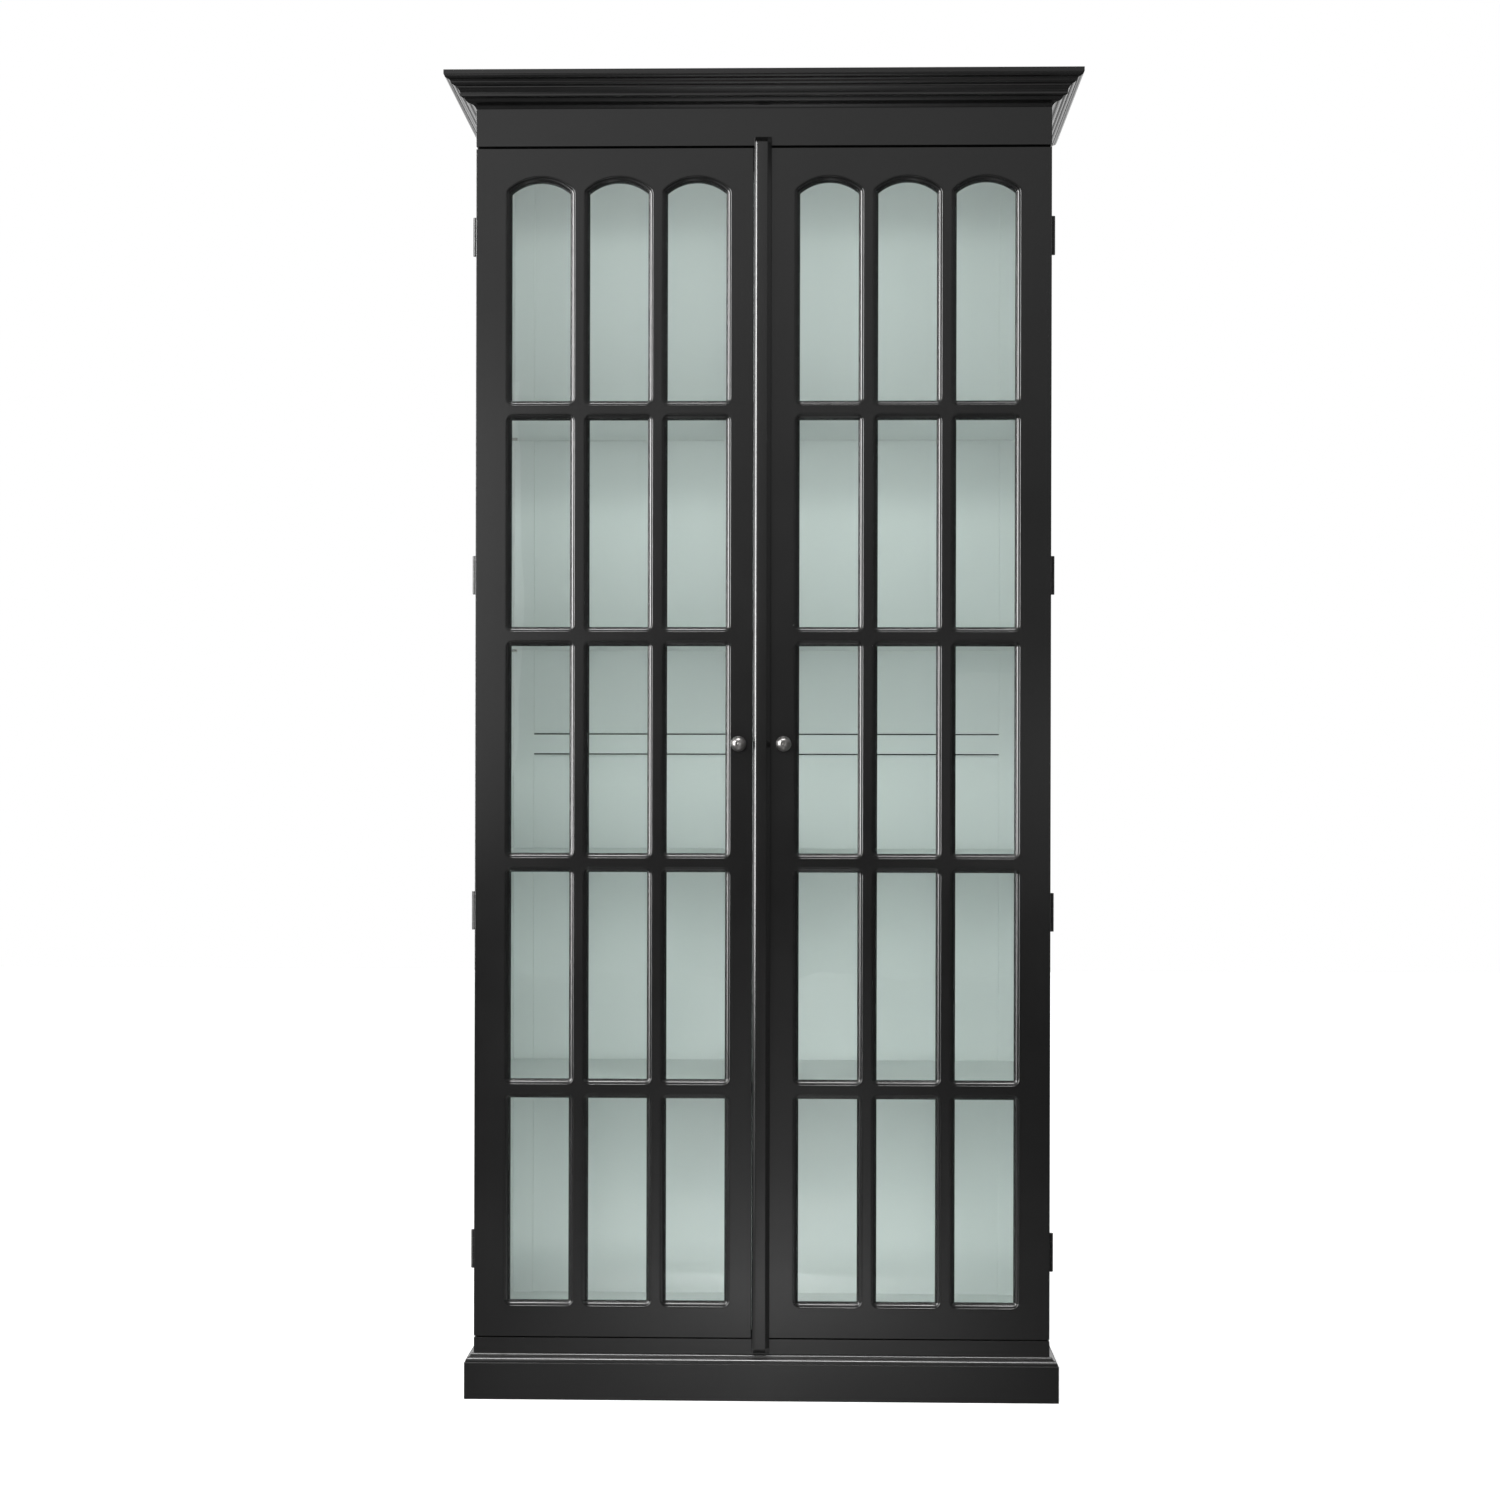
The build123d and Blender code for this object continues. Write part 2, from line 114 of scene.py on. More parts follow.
def mixColour(tree, factor, first, second):
    # first * (1 - factor) + second * factor, through the mix node's colour sockets
    mixed = addNode(tree, "ShaderNodeMix", {"Factor": factor}, data_type="RGBA")
    for socket, value in ((mixed.inputs[6], first), (mixed.inputs[7], second)):
        if isinstance(value, bpy.types.NodeSocket):
            tree.links.new(value, socket)
        else:
            socket.default_value = (*value, 1.0)
    return mixed.outputs[2]


def mapTo(tree, value, low, high, fromLow=0.0, fromHigh=1.0):
    # a straight-line rescale of a value, held inside its ends
    scaled = addNode(
        tree,
        "ShaderNodeMapRange",
        {"Value": value, "From Min": fromLow, "From Max": fromHigh, "To Min": low, "To Max": high},
    )
    return scaled.outputs[0]


def addBump(tree, height, relief, strength=1.0):
    # the normal of a surface that a height of one raises by the relief
    links = {"Height": height, "Strength": strength, "Distance": relief}
    return addNode(tree, "ShaderNodeBump", links).outputs[0]


def newGroup(name, inputs, outputs):
    # a node group; an input is named with its plain value, or with None where it takes a place
    group = bpy.data.node_groups.new(name, "ShaderNodeTree")
    for socket, value in inputs.items():
        kind = "NodeSocketVector" if value is None else "NodeSocketFloat"
        made = group.interface.new_socket(socket, in_out="INPUT", socket_type=kind)
        if value is not None:
            made.default_value = value
    for socket in outputs:
        group.interface.new_socket(socket, in_out="OUTPUT", socket_type="NodeSocketFloat")
    entry = group.nodes.new("NodeGroupInput")
    leave = group.nodes.new("NodeGroupOutput")
    return group, entry.outputs, leave.inputs


filmLook = dict(
    peelDetail=2.0,
    brushDetail=3.0,
    brushRoughness=0.6,
    brushShare=0.35,
    cloudSize=5.0,
    cloudDetail=4.0,
    cloudRoughness=0.55,
)


def makePaintFilm():
    # sprayed and rubbed paint: height mixes orange peel with faint brush lines drawn out up and down,
    # and cloud is a slow patchiness
    look = filmLook
    sizes = {"Place": None, "Peel Size": 420.0, "Brush Size": 900.0, "Brush Stretch": 0.02}
    group, entry, leave = newGroup("paintFilm", sizes, ["Height", "Cloud"])
    place = entry["Place"]
    peel = addNoise(group, place, entry["Peel Size"], look["peelDetail"])
    stretch = addNode(group, "ShaderNodeCombineXYZ", {"X": 1.0, "Y": 1.0, "Z": entry["Brush Stretch"]})
    along = stretchPlace(group, place, stretch.outputs[0])
    brush = addNoise(group, along, entry["Brush Size"], look["brushDetail"], look["brushRoughness"])
    cloud = addNoise(group, place, look["cloudSize"], look["cloudDetail"], look["cloudRoughness"])
    group.links.new(mixValue(group, look["brushShare"], peel, brush), leave["Height"])
    group.links.new(cloud, leave["Cloud"])
    return group


rubLook = dict(
    leanStart=0.995,
    leanFull=0.8,
    patchDetail=5.0,
    patchRoughness=0.7,
    patchStart=0.42,
    patchFull=0.72,
)


def makeEdgeRub():
    # how far the rounded normal leans from the true one, broken up by noise: paint rubbed thin along arrises
    look = rubLook
    group, entry, leave = newGroup("edgeRub", {"Place": None, "Radius": 0.0012, "Patches": 60.0}, ["Mask"])
    rounded = addNode(group, "ShaderNodeBevel", {"Radius": entry["Radius"]}, samples=4).outputs[0]
    flat = addNode(group, "ShaderNodeNewGeometry").outputs["Normal"]
    lean = addNode(group, "ShaderNodeVectorMath", {0: rounded, 1: flat}, operation="DOT_PRODUCT")
    edge = mapTo(group, lean.outputs["Value"], 0.0, 1.0, look["leanStart"], look["leanFull"])
    patches = addNoise(group, entry["Place"], entry["Patches"], look["patchDetail"], look["patchRoughness"])
    worn = mapTo(group, patches, 0.0, 1.0, look["patchStart"], look["patchFull"])
    group.links.new(addMath(group, "MULTIPLY", edge, worn), leave["Mask"])
    return group


dustLook = dict(
    slopeStart=0.6,
    slopeFull=1.0,
    patchDetail=6.0,
    patchRoughness=0.7,
    patchStart=0.3,
    patchFull=0.8,
)


def makeDust():
    # faces that look upwards gather dust, thicker where a slow noise is high
    look = dustLook
    group, entry, leave = newGroup("dust", {"Place": None, "Patches": 14.0}, ["Mask"])
    facing = addNode(group, "ShaderNodeNewGeometry").outputs["Normal"]
    height = addNode(group, "ShaderNodeSeparateXYZ", {0: facing}).outputs["Z"]
    upward = mapTo(group, height, 0.0, 1.0, look["slopeStart"], look["slopeFull"])
    patches = addNoise(group, entry["Place"], entry["Patches"], look["patchDetail"], look["patchRoughness"])
    lying = mapTo(group, patches, 0.0, 1.0, look["patchStart"], look["patchFull"])
    group.links.new(addMath(group, "MULTIPLY", upward, lying), leave["Mask"])
    return group


paintFilm = makePaintFilm()
edgeRub = makeEdgeRub()
dust = makeDust()
middleOfNoise = dict(fromLow=0.3, fromHigh=0.7)  # most of a noise lies between these


def startMaterial(name):
    # a new material, its node tree, its shader and the place on the piece
    material = bpy.data.materials.new(name)
    material.use_nodes = True
    tree = material.node_tree
    place = tree.nodes.new("ShaderNodeTexCoord").outputs["Object"]
    return material, tree, tree.nodes["Principled BSDF"], place


blackPaintLook = dict(
    thin=(0.0022, 0.0022, 0.0022),
    thick=(0.0042, 0.0042, 0.0041),
    rubbed=(0.045, 0.041, 0.036),
    dusty=(0.11, 0.105, 0.098),
    smooth=0.17,
    dull=0.22,
    rub=0.12,
    dust=0.2,
    dustPatches=14.0,
    peelSize=420.0,
    brushSize=900.0,
    brushStretch=0.03,
    relief=0.00003,
    ior=1.5,
)


def coatFilm(tree, place, look):
    # the paint film's height and cloud, in one paint's own sizes
    links = {"Place": place, "Peel Size": look["peelSize"]}
    links.update({"Brush Size": look["brushSize"], "Brush Stretch": look["brushStretch"]})
    return useGroup(tree, paintFilm, links).outputs


def paintedBlack(tree, place):
    # colour, roughness and normal of the black paint: thin and thick coats, then rubbed edges, then dust
    look = blackPaintLook
    film = coatFilm(tree, place, look)
    rub = useGroup(tree, edgeRub, {"Place": place}).outputs["Mask"]
    lint = useGroup(tree, dust, {"Place": place, "Patches": look["dustPatches"]}).outputs["Mask"]
    coat = mixColour(tree, film["Cloud"], look["thin"], look["thick"])
    worn = mixColour(tree, mapTo(tree, rub, 0.0, look["rub"]), coat, look["rubbed"])
    colour = mixColour(tree, mapTo(tree, lint, 0.0, look["dust"]), worn, look["dusty"])
    gloss = mapTo(tree, film["Cloud"], look["smooth"], look["dull"], **middleOfNoise)
    return colour, gloss, addBump(tree, film["Height"], look["relief"])


def blackPaint():
    # the black of the doors, the mouldings and the front of the case
    material, tree, shader, place = startMaterial("blackPaint")
    colour, gloss, normal = paintedBlack(tree, place)
    tree.links.new(colour, shader.inputs["Base Color"])
    tree.links.new(gloss, shader.inputs["Roughness"])
    tree.links.new(normal, shader.inputs["Normal"])
    shader.inputs["IOR"].default_value = blackPaintLook["ior"]
    return material


insidePaintLook = dict(
    thin=(0.70, 0.725, 0.72),
    thick=(0.74, 0.757, 0.75),
    dusty=(0.60, 0.61, 0.58),
    dust=0.25,
    dustPatches=9.0,
    peelSize=260.0,
    brushSize=700.0,
    brushStretch=0.02,
    rough=0.55,
    specular=0.15,
    relief=0.00006,
)


def paintedInside(tree, place):
    # colour and normal of the pale paint: thin and thick coats under dust
    look = insidePaintLook
    film = coatFilm(tree, place, look)
    lint = useGroup(tree, dust, {"Place": place, "Patches": look["dustPatches"]}).outputs["Mask"]
    coat = mixColour(tree, film["Cloud"], look["thin"], look["thick"])
    colour = mixColour(tree, mapTo(tree, lint, 0.0, look["dust"]), coat, look["dusty"])
    return colour, addBump(tree, film["Height"], look["relief"])


def insidePaint():
    # the pale paint of the shelves and the other boards that lie wholly within the case
    material, tree, shader, place = startMaterial("insidePaint")
    colour, normal = paintedInside(tree, place)
    tree.links.new(colour, shader.inputs["Base Color"])
    tree.links.new(normal, shader.inputs["Normal"])
    shader.inputs["Roughness"].default_value = insidePaintLook["rough"]
    shader.inputs["Specular IOR Level"].default_value = insidePaintLook["specular"]
    return material


def twoTonePaint(innerFace, frontEdge, rearEdge):
    # pale within the case, between its inner faces and its front and rear edges, and black everywhere else
    material, tree, shader, place = startMaterial("twoTonePaint")
    axes = addNode(tree, "ShaderNodeSeparateXYZ", {0: place}).outputs
    across = addMath(tree, "ABSOLUTE", axes["X"])
    within = addMath(tree, "LESS_THAN", across, innerFace)
    behind = addMath(tree, "GREATER_THAN", axes["Y"], frontEdge)
    before = addMath(tree, "LESS_THAN", axes["Y"], rearEdge)
    inside = addMath(tree, "MULTIPLY", within, addMath(tree, "MULTIPLY", behind, before))
    black, gloss, normal = paintedBlack(tree, place)
    pale, _ = paintedInside(tree, place)
    rough = mixValue(tree, inside, gloss, insidePaintLook["rough"])
    tree.links.new(mixColour(tree, inside, black, pale), shader.inputs["Base Color"])
    tree.links.new(rough, shader.inputs["Roughness"])
    tree.links.new(normal, shader.inputs["Normal"])
    return material


rawBoardLook = dict(
    dark=(0.012, 0.0115, 0.011),
    light=(0.034, 0.031, 0.028),
    dusty=(0.15, 0.143, 0.132),
    dust=0.6,
    dustPatches=8.0,
    grainStretch=(0.06, 1.0, 1.0),
    grainSize=160.0,
    grainDetail=6.0,
    grainDistortion=0.4,
    strength=0.6,
    relief=0.0002,
    rough=0.7,
)


def rawBoard():
    # board washed thinly with black, so that the grain shows as long soft streaks
    look = rawBoardLook
    material, tree, shader, place = startMaterial("rawBoard")
    along = stretchPlace(tree, place, look["grainStretch"])
    grain = addNoise(tree, along, look["grainSize"], look["grainDetail"], distortion=look["grainDistortion"])
    lint = useGroup(tree, dust, {"Place": place, "Patches": look["dustPatches"]}).outputs["Mask"]
    wash = mixColour(tree, grain, look["dark"], look["light"])
    colour = mixColour(tree, mapTo(tree, lint, 0.0, look["dust"]), wash, look["dusty"])
    tree.links.new(colour, shader.inputs["Base Color"])
    tree.links.new(addBump(tree, grain, look["relief"], look["strength"]), shader.inputs["Normal"])
    shader.inputs["Roughness"].default_value = look["rough"]
    return material


glassLook = dict(
    tint=(0.95, 0.985, 0.97, 1.0),
    clear=(0.90, 0.945, 0.93, 1.0),
    ior=1.5,
    drawStretch=(1.0, 1.0, 0.35),
    waveSize=9.0,
    waveDetail=1.0,
    relief=0.0006,
)


def glass():
    # float glass with a faint waviness; shadows and scattered light pass straight through it, tinted, so
    # that light reaches the shelves
    look = glassLook
    material, tree, shader, place = startMaterial("glass")
    shader.inputs["Base Color"].default_value = look["tint"]
    shader.inputs["Roughness"].default_value = 0.0
    shader.inputs["Metallic"].default_value = 0.0
    shader.inputs["IOR"].default_value = look["ior"]
    shader.inputs["Transmission Weight"].default_value = 1.0
    draw = stretchPlace(tree, place, look["drawStretch"])
    wave = addNoise(tree, draw, look["waveSize"], look["waveDetail"])
    tree.links.new(addBump(tree, wave, look["relief"]), shader.inputs["Normal"])
    clear = addNode(tree, "ShaderNodeBsdfTransparent", {"Color": look["clear"]}).outputs[0]
    path = addNode(tree, "ShaderNodeLightPath").outputs
    straight = addMath(tree, "MAXIMUM", path["Is Shadow Ray"], path["Is Diffuse Ray"])
    pick = addNode(tree, "ShaderNodeMixShader", {0: straight, 1: shader.outputs[0], 2: clear})
    tree.links.new(pick.outputs[0], tree.nodes["Material Output"].inputs["Surface"])
    return material


metalGrain = dict(
    streakSize=1500.0,
    streakDetail=3.0,
    tarnishSize=90.0,
    tarnishDetail=5.0,
    tarnishRoughness=0.65,
    tarnishStart=0.35,
    tarnishFull=0.75,
    strength=0.5,
    relief=0.00002,
)
metals = dict(
    hinge_metal=dict(
        name="hingeMetal",
        bright=(0.006, 0.006, 0.006),
        tarnished=(0.012, 0.011, 0.010),
        smooth=0.30,
        dull=0.44,
        metallic=0.2,
        streaks=(1, 1, 0.05),
    ),
    knob_metal=dict(
        name="knobMetal",
        bright=(0.21, 0.205, 0.20),
        tarnished=(0.12, 0.116, 0.112),
        smooth=0.26,
        dull=0.38,
        metallic=0.9,
        streaks=(1, 1, 1),
    ),
    screw_steel=dict(
        name="screwSteel",
        bright=(0.34, 0.33, 0.32),
        tarnished=(0.20, 0.19, 0.18),
        smooth=0.28,
        dull=0.46,
        metallic=1.0,
        streaks=(1, 1, 0.2),
    ),
    pin_steel=dict(
        name="pinSteel",
        bright=(0.58, 0.57, 0.55),
        tarnished=(0.44, 0.42, 0.39),
        smooth=0.18,
        dull=0.34,
        metallic=1.0,
        streaks=(0.1, 1, 1),
    ),
    catch_steel=dict(
        name="catchSteel",
        bright=(0.48, 0.48, 0.48),
        tarnished=(0.36, 0.35, 0.33),
        smooth=0.24,
        dull=0.42,
        metallic=1.0,
        streaks=(1, 1, 1),
    ),
)


def metal(look):
    # fine streaks, drawn out along one axis of all but the knobs and catches, under slow patches of tarnish
    grain = metalGrain
    material, tree, shader, place = startMaterial(look["name"])
    along = stretchPlace(tree, place, look["streaks"])
    streaks = addNoise(tree, along, grain["streakSize"], grain["streakDetail"])
    patches = addNoise(tree, place, grain["tarnishSize"], grain["tarnishDetail"], grain["tarnishRoughness"])
    stained = mapTo(tree, patches, 0.0, 1.0, grain["tarnishStart"], grain["tarnishFull"])
    rough = mapTo(tree, streaks, look["smooth"], look["dull"], **middleOfNoise)
    tree.links.new(mixColour(tree, stained, look["bright"], look["tarnished"]), shader.inputs["Base Color"])
    tree.links.new(rough, shader.inputs["Roughness"])
    tree.links.new(addBump(tree, streaks, grain["relief"], grain["strength"]), shader.inputs["Normal"])
    shader.inputs["Metallic"].default_value = look["metallic"]
    return material


materials = dict(black_paint=blackPaint(), inside_paint=insidePaint(), raw_board=rawBoard(), glass=glass())
for slot, look in metals.items():
    materials[slot] = metal(look)
print("materials made:", len(materials))


def gridFaces(rows, columns, wrapRows=True, wrapColumns=True):
    # quads between neighbours of a rows x columns grid of points, closed round where asked
    row = np.arange(rows if wrapRows else rows - 1)[:, None] * columns
    column = np.arange(columns if wrapColumns else columns - 1)[None, :]
    nextRow = (row + columns) % (rows * columns)
    nextColumn = (column + 1) % columns
    corners = [row + column, row + nextColumn, nextRow + nextColumn, nextRow + column]
    return np.stack(corners, axis=-1).reshape(-1, 4).tolist()


def enclosedVolume(points, faces):
    # sum over every face, cut into a fan, of the tetrahedra it makes with the origin
    fans = [(f[0], f[i], f[i + 1]) for f in faces for i in range(1, len(f) - 1)]
    a, b, c = (points[[fan[k] for fan in fans]] for k in range(3))
    return float(np.einsum("ij,ij->i", a, np.cross(b, c)).sum() / 6)


sharpAngles = dict(moulding=24, run=20, knob=30)


def addPiece(name, solids, body, slot, replaced, kind):
    # one mesh object from (points, faces) solids, each turned so that its faces look outwards
    points, faces, start = [], [], 0
    for solidPoints, solidFaces in solids:
        solidPoints = np.asarray(solidPoints, float).reshape(-1, 3)
        if enclosedVolume(solidPoints, solidFaces) < 0:
            solidFaces = [f[::-1] for f in solidFaces]
        points.append(solidPoints)
        faces += [[corner + start for corner in f] for f in solidFaces]
        start += len(solidPoints)
    mesh = bpy.data.meshes.new(name)
    mesh.from_pydata(np.concatenate(points).tolist(), [], faces)
    mesh.polygons.foreach_set("use_smooth", np.ones(len(mesh.polygons), bool))
    mesh.set_sharp_from_angle(angle=radians(sharpAngles[kind]))
    mesh.update()
    piece = bpy.data.objects.new(name, mesh)
    bpy.context.collection.objects.link(piece)
    mesh.materials.append(materials[slot])
    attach(piece, body)
    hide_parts(*replaced)
    return piece


def arcThrough(start, middle, end, count):
    # the circle through three points: its centre is equally far from all three, the angle runs evenly
    (ax, ay), (bx, by), (cx, cy) = start, middle, end
    d = 2 * (ax * (by - cy) + bx * (cy - ay) + cx * (ay - by))
    a2, b2, c2 = ax * ax + ay * ay, bx * bx + by * by, cx * cx + cy * cy
    ux = (a2 * (by - cy) + b2 * (cy - ay) + c2 * (ay - by)) / d
    uy = (a2 * (cx - bx) + b2 * (ax - cx) + c2 * (bx - ax)) / d
    angles = np.unwrap([np.arctan2(y - uy, x - ux) for x, y in (start, middle, end)])
    sweep = np.linspace(angles[0], angles[2], count + 1)[1:]
    radius = np.hypot(ax - ux, ay - uy)
    return [(ux + radius * np.cos(t), uy + radius * np.sin(t)) for t in sweep]


def sectionLine(first, *stretches, steps=6):
    # a section's points in metres from stretches in millimetres: two numbers make a corner,
    # four an arc given by its middle and its end
    points = [first]
    for stretch in stretches:
        if len(stretch) == 2:
            points.append(stretch)
        else:
            points += arcThrough(points[-1], stretch[:2], stretch[2:], steps)
    return np.array(points) / 1000


glazing = dict(
    lightWidth=0.0955,
    mouldingWidth=0.0095,
    gap=0.0001,
    barSight=0.031,
    archRise=0.018,
    contourRadius=0.014,
    columns=3,
    bars=4,
    cornerSteps=7,
    archSteps=20,
)


def doorLights(side):
    # (middle, bottom, top, arched) of every light of a door, worked out from its mouldings and crossbars
    g = glazing
    low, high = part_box(side + "_mouldings")
    barLow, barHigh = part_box(side + "_crossbars")
    reach = g["mouldingWidth"] - g["gap"]
    barReach = g["barSight"] / 2 - g["mouldingWidth"] + g["contourRadius"]
    inset = reach + g["lightWidth"] / 2
    middles = np.linspace(low.x + inset, high.x - inset, g["columns"])
    bars = np.linspace(barLow.z + barReach, barHigh.z - barReach, g["bars"])
    spring = high.z - reach - g["archRise"]
    bottoms = [low.z + reach, *(bars + g["barSight"] / 2)]
    tops = [*(bars - g["barSight"] / 2), spring]
    return [(m, b, t, t == spring) for b, t in zip(bottoms, tops) for m in middles]


def lightOutline(light, margin):
    # the outline of a light grown by each margin: straight sides, corners that turn on a radius growing
    # with the margin, and an arched head struck from one centre for every margin
    g = glazing
    middle, bottom, top, arched = light
    margin = np.asarray(margin)[None, :]
    radius = margin * g["contourRadius"] / g["mouldingWidth"]
    half = g["lightWidth"] / 2 + margin
    turn = np.linspace(0, 1, g["cornerSteps"])[:, None]

    def bend(x, z, start, stop):
        angle = start + (stop - start) * turn
        return x + radius * np.cos(angle), z + radius * np.sin(angle)

    quarter = np.pi / 2
    low = bottom - margin + radius
    if arched:
        headRadius = (g["lightWidth"] ** 2 / 4 + g["archRise"] ** 2) / (2 * g["archRise"])
        centre = top + g["archRise"] - headRadius
        grown = headRadius + margin
        haunch = centre + np.sqrt((grown - radius) ** 2 - (half - radius) ** 2)
        slope = np.arctan2(haunch - centre, half - radius)
        sweep = np.linspace(0, 1, g["archSteps"])[1:-1, None]
        angle = slope + (np.pi - 2 * slope) * sweep
        head = [
            bend(half - radius, haunch, 0, slope),
            (grown * np.cos(angle), centre + grown * np.sin(angle)),
            bend(radius - half, haunch, np.pi - slope, np.pi),
        ]
    else:
        high = top + margin - radius
        head = [bend(half - radius, high, 0, quarter), bend(radius - half, high, quarter, 2 * quarter)]
    foot = [bend(radius - half, low, 2 * quarter, 3 * quarter)]
    start = [bend(half - radius, low, -quarter, 0)]
    runs = start + head + foot
    return middle + np.concatenate([x for x, z in runs]), np.concatenate([z for x, z in runs])


def lightRing(light, section):
    # the section, margin against depth behind the door's face, carried round the light's outline
    x, z = lightOutline(light, section[:, 0])
    y = np.broadcast_to(doorFront + section[:, 1], x.shape)
    points = np.stack([x, y, z], axis=-1)
    return points.reshape(-1, 3), gridFaces(*x.shape)


# from the flat of the door inwards: a quirk, a small edge rounded inwards, a groove, an ovolo and the
# fillet at the glass
mouldingSection = sectionLine(
    (9.46, 9.94),
    (9.46, 0.03),
    (9.2, 1.3),
    (8.8, 1.3),
    (8.8, 0.3),
    (8.5, 0.25),
    (7.9, 0.42, 7.3, 0.95),
    (7.1, 1.3),
    (7.0, 3.6),
    (6.2, 3.6),
    (6.1, 2.7),
    (3.1, 4.0, 1.5, 7.1),
    (1.4, 7.9),
    (0.15, 8.1),
    (0.0, 8.3),
    (0.0, 9.94),
    steps=7,
)
# behind the glass: a flat against the pane, then a round that runs back and outwards
beadSection = sectionLine(
    (9.4, 14.05),
    (0.1, 14.05),
    (0.0, 14.3),
    (0.0, 15.5),
    (2.9, 20.3, 8.2, 20.95),
    (9.4, 20.95),
    steps=8,
)
for side in ("left", "right"):
    lights = doorLights(side)
    addPiece(
        side + "Mouldings",
        [lightRing(light, mouldingSection) for light in lights],
        side + "_door",
        "black_paint",
        [side + "_mouldings"],
        "moulding",
    )
    addPiece(
        side + "GlazingBeads",
        [lightRing(light, beadSection) for light in lights],
        side + "_door",
        "black_paint",
        [side + "_glazing_beads"],
        "moulding",
    )
print("mouldings and beads run round", 2 * len(lights), "lights")


def mitredRun(section, base, sideFace, ends, back=None):
    # a section, projection against height, run along the front between two mitres, or back from one
    # mitre: each point slides out along the mitre by its own projection
    out, up = section[:, 0], section[:, 1] + base
    rows = []
    for end in ends:
        x = end * (sideFace + out)
        y = np.full_like(out, back) if back is not None and len(rows) else doorFront - out
        rows.append(np.stack([x, y, up], axis=1))
    points = np.concatenate(rows)
    count = len(section)
    caps = [list(range(count)), list(range(2 * count - 1, count - 1, -1))]
    return points, gridFaces(2, count, wrapRows=False) + caps


# frieze upwards: a hollow running into a round, a fillet, a hollow, a small round, a small hollow running
# into a round, and the top fascia
corniceSection = sectionLine(
    (-0.5, 0),
    (0, 0),
    (3.2, 4.8, 8.5, 7),
    (13.6, 8.6, 16.5, 13),
    (20, 13.4),
    (23, 15.3),
    (23.6, 22, 27.5, 27.5),
    (29, 27.5),
    (29, 29.5),
    (33, 30.6, 35.5, 33.3),
    (37, 33.3),
    (38.3, 37, 41.5, 38.6),
    (44.9, 40.4, 46, 44),
    (46.6, 44),
    (47, 44.4),
    (47, 51.2),
    (46.6, 51.6),
    (-0.5, 51.6),
    steps=10,
)
# plinth upwards: a narrow edge, an ovolo, a step and a smaller round
capSection = sectionLine(
    (-0.5, 0),
    (11.7, 0),
    (12, 0.3),
    (12, 1.8),
    (10.2, 6, 6, 7.8),
    (6, 9),
    (4.9, 9.4),
    (4.4, 11.4, 1.5, 12.9),
    (-0.5, 12.9),
    steps=10,
)
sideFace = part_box("frieze_rail")[1].x
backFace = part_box("right_cornice_return")[1].y
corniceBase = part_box("cornice_front")[0].z
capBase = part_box("plinth_cap_front")[0].z
bothEnds = (-1, 1)
addPiece(
    "corniceFront",
    [mitredRun(corniceSection, corniceBase, sideFace, bothEnds)],
    "cabinet",
    "black_paint",
    ["cornice_front"],
    "run",
)
for side, sign in (("left", -1), ("right", 1)):
    addPiece(
        side + "CorniceReturn",
        [mitredRun(corniceSection, corniceBase, sideFace, (sign, sign), backFace)],
        "cabinet",
        "black_paint",
        [side + "_cornice_return"],
        "run",
    )
addPiece(
    "plinthCapFront",
    [mitredRun(capSection, capBase, sideFace, bothEnds)],
    "cabinet",
    "black_paint",
    ["plinth_cap_front"],
    "run",
)
addPiece(
    "plinthCapReturns",
    [mitredRun(capSection, capBase, sideFace, (sign, sign), backFace) for sign in bothEnds],
    "cabinet",
    "black_paint",
    ["plinth_cap_returns"],
    "run",
)
print("cornice and plinth cap run")


# the rail across the back: a narrow land and a quirk along each edge, and the face between the quirks
railLook = dict(name="back_middle_rail", land=0.0010, quirk=0.0024, sink=0.0110, flare=0.0002)


def quirkedRail():
    # a section, height against depth, drawn between the rail's two ends
    look = railLook
    low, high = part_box(look["name"])
    inner = look["land"] + look["quirk"]
    sunk = low.y + look["sink"]
    bottom = [(look["land"] + look["flare"], sunk), (inner - look["flare"], sunk)]
    lower = [(look["land"], low.y), *bottom, (inner, low.y)]
    foot = [(low.z, high.y), (low.z, low.y)] + [(low.z + up, depth) for up, depth in lower]
    head = [(high.z - up, depth) for up, depth in lower[::-1]] + [(high.z, low.y), (high.z, high.y)]
    section = np.array(foot + head)
    count = len(section)
    ends = [np.column_stack([np.full(count, x), section[:, 1], section[:, 0]]) for x in (low.x, high.x)]
    caps = [list(range(count)), list(range(2 * count - 1, count - 1, -1))]
    return np.concatenate(ends), gridFaces(2, count, wrapRows=False) + caps


backRail = addPiece("backMiddleRail", [quirkedRail()], "cabinet", "inside_paint", [railLook["name"]], "run")

astragalLook = dict(edge=0.007, bevel=0.006, endRun=0.009, endDepth=0.006, steps=10)


